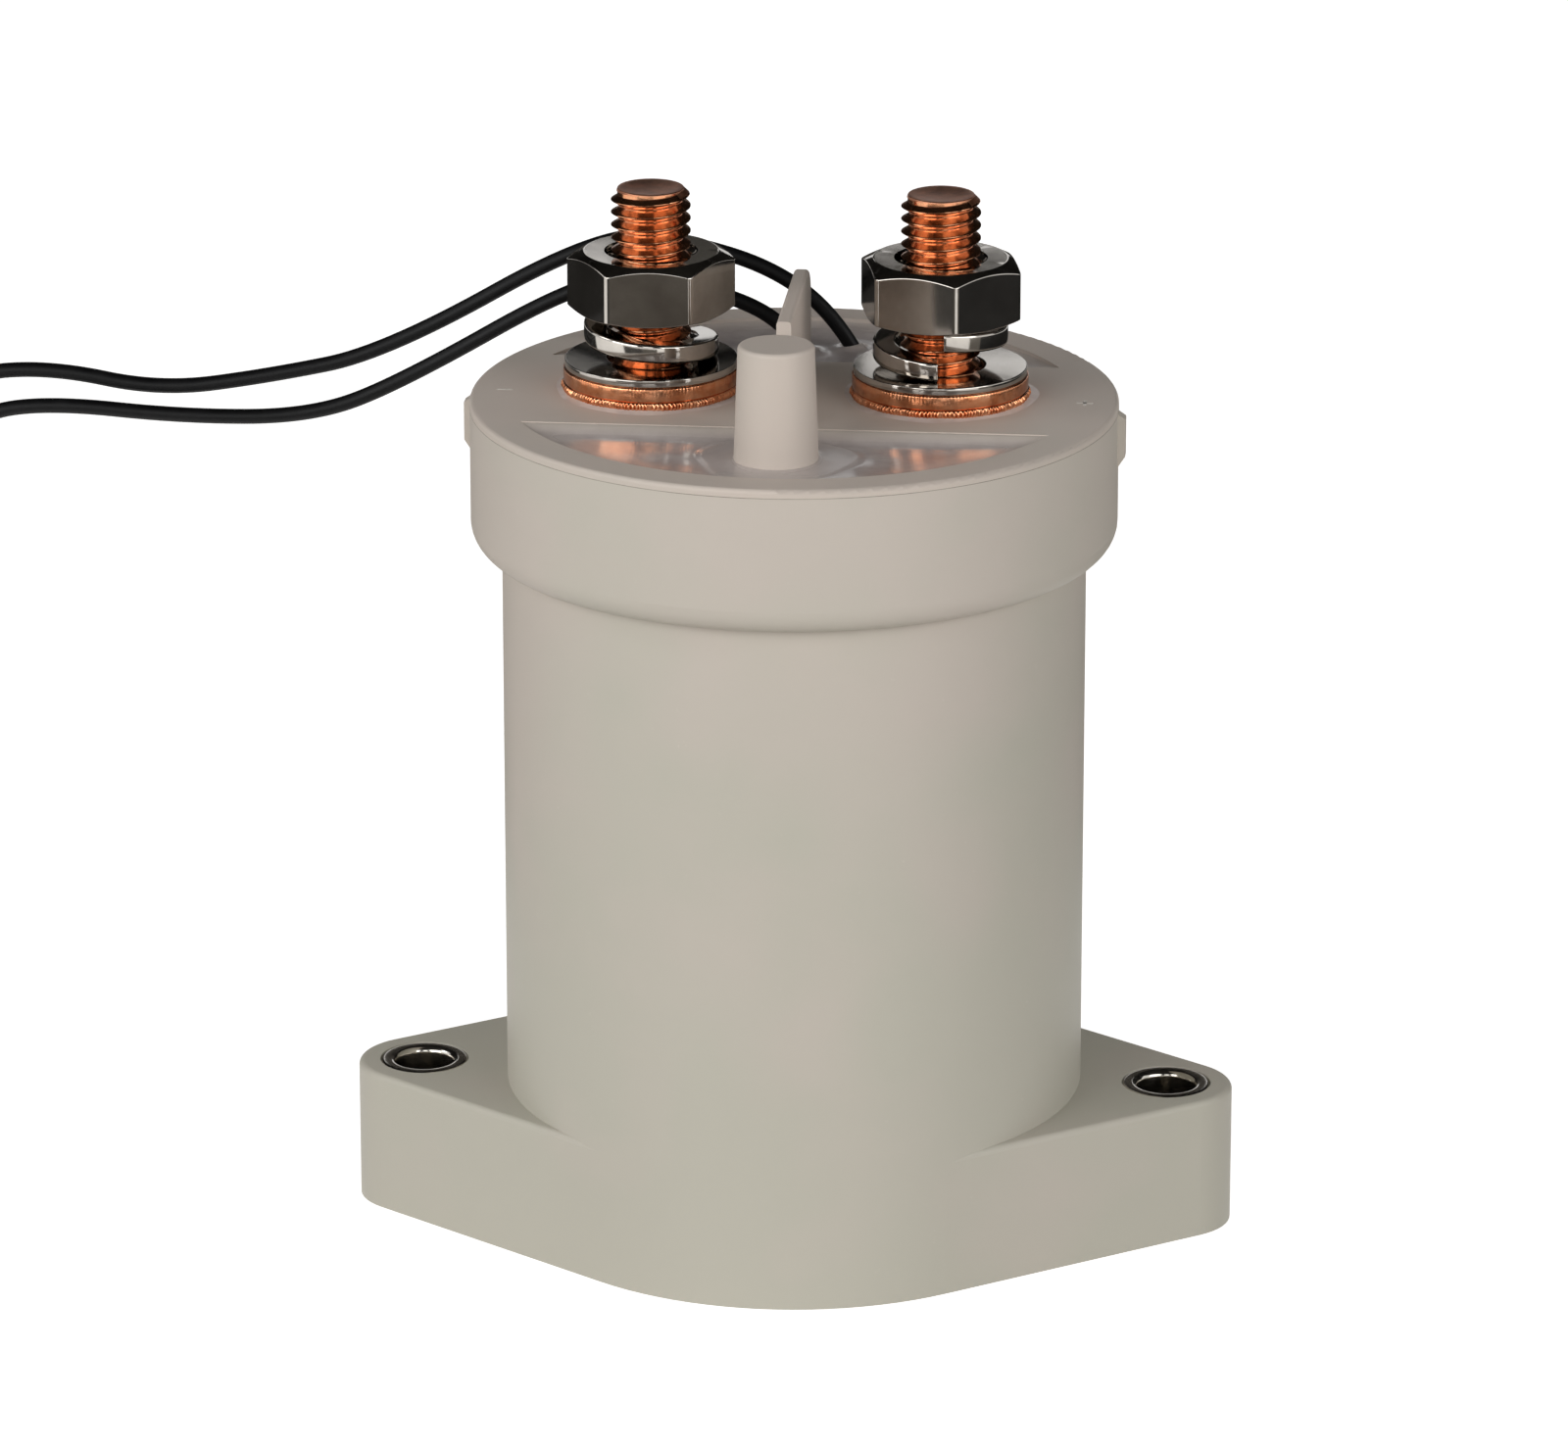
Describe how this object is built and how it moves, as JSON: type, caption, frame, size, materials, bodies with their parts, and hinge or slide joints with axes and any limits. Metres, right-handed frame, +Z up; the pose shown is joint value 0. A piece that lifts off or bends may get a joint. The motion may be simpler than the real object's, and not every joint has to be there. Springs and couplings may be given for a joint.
{
  "type": "high voltage dc contactor",
  "caption": "Sealed direct-current contactor in a round moulded case: stud terminals with nuts, sprung moving contact, coil and plunger, mounting ears and flying coil leads.",
  "frame": {"origin": "centre of the housing's flat underside, on the axis of its round body", "axes": "+Z up along the body towards the terminal studs, +X through the right ear and terminal, -Y towards the fill tube's cap"},
  "size_m": [0.1944, 0.075, 0.124],
  "materials": {
    "housing_resin": "satin",
    "cover_resin": "satin",
    "potting_resin": "gloss",
    "nickel_plate": "polished",
    "copper": "satin",
    "stainless_steel": "polished",
    "spring_steel": "satin",
    "alumina": "matte",
    "soft_iron": "satin",
    "magnet_ferrite": "matte",
    "black_insulation": "satin",
    "tinned_copper": "satin",
    "bumper_rubber": "matte",
    "bobbin_nylon": "satin",
    "enamelled_wire": "gloss",
    "insulating_board": "matte"
  },
  "bodies": {
    "case": {"housing": "housing_resin", "cover": "cover_resin", "potting": "potting_resin", "tube_cap": "cover_resin", "mounting_bush_left": "nickel_plate", "mounting_bush_right": "nickel_plate", "terminal_left": "copper", "terminal_right": "copper", "terminal_seal_left": "soft_iron", "terminal_seal_right": "soft_iron", "header_plate": "soft_iron", "fill_tube": "copper", "arc_chamber": "alumina", "insulator": "insulating_board", "blowout_magnet_front": "magnet_ferrite", "blowout_magnet_back": "magnet_ferrite", "magnet_keeper_front": "soft_iron", "magnet_keeper_back": "soft_iron", "sleeve": "stainless_steel", "bumper": "bumper_rubber", "return_spring": "spring_steel", "fixed_core": "soft_iron", "bobbin": "bobbin_nylon", "winding": "enamelled_wire", "yoke_shell": "soft_iron", "upper_yoke_plate": "soft_iron", "lead_upper": "black_insulation", "lead_upper_end": "tinned_copper", "lead_lower": "black_insulation", "lead_lower_end": "tinned_copper"},
    "armature": {"plunger": "soft_iron", "shaft": "soft_iron", "spring_seat": "spring_steel", "bridge_clip": "spring_steel", "contact_spring": "spring_steel"},
    "bridge": {"contact_bridge": "copper"},
    "washers_left": {"flat_washer_left": "stainless_steel", "spring_washer_left": "stainless_steel"},
    "nut_left": {"nut_left": "stainless_steel"},
    "washers_right": {"flat_washer_right": "stainless_steel", "spring_washer_right": "stainless_steel"},
    "nut_right": {"nut_right": "stainless_steel"}
  },
  "joints": [
    {"name": "armature_slide", "type": "slide", "parent": "case", "child": "armature", "axis": [0, 0, 1], "range_m": [0, 0.0025], "stiffness_N_per_m": 1000, "springref_m": -0.005, "deforming": ["return_spring"]},
    {"name": "bridge_overtravel", "type": "slide", "parent": "armature", "child": "bridge", "axis": [0, 0, 1], "range_m": [-0.0009, 0], "deforming": ["contact_spring"]},
    {"name": "washers_left_rise", "type": "slide", "parent": "case", "child": "washers_left", "axis": [0, 0, 1], "range_m": [0, 0.00676]},
    {"name": "nut_left_turn", "type": "hinge", "parent": "washers_left", "child": "nut_left", "pos_m": [-0.01675, 0.0018, 0.11298], "axis": [0, 0, 1], "range_deg": [0, 1620]},
    {"name": "washers_right_rise", "type": "slide", "parent": "case", "child": "washers_right", "axis": [0, 0, 1], "range_m": [0, 0.00676]},
    {"name": "nut_right_turn", "type": "hinge", "parent": "washers_right", "child": "nut_right", "pos_m": [0.01675, 0.0018, 0.11298], "axis": [0, 0, 1], "range_deg": [0, 1620]}
  ],
  "couplings": [
    {"joint": "bridge_overtravel", "follows": "armature_slide", "ratio": -0.36},
    {"joint": "washers_left_rise", "follows": "nut_left_turn", "m_per_rad": 0.00023873},
    {"joint": "washers_right_rise", "follows": "nut_right_turn", "m_per_rad": 0.00023873}
  ]
}
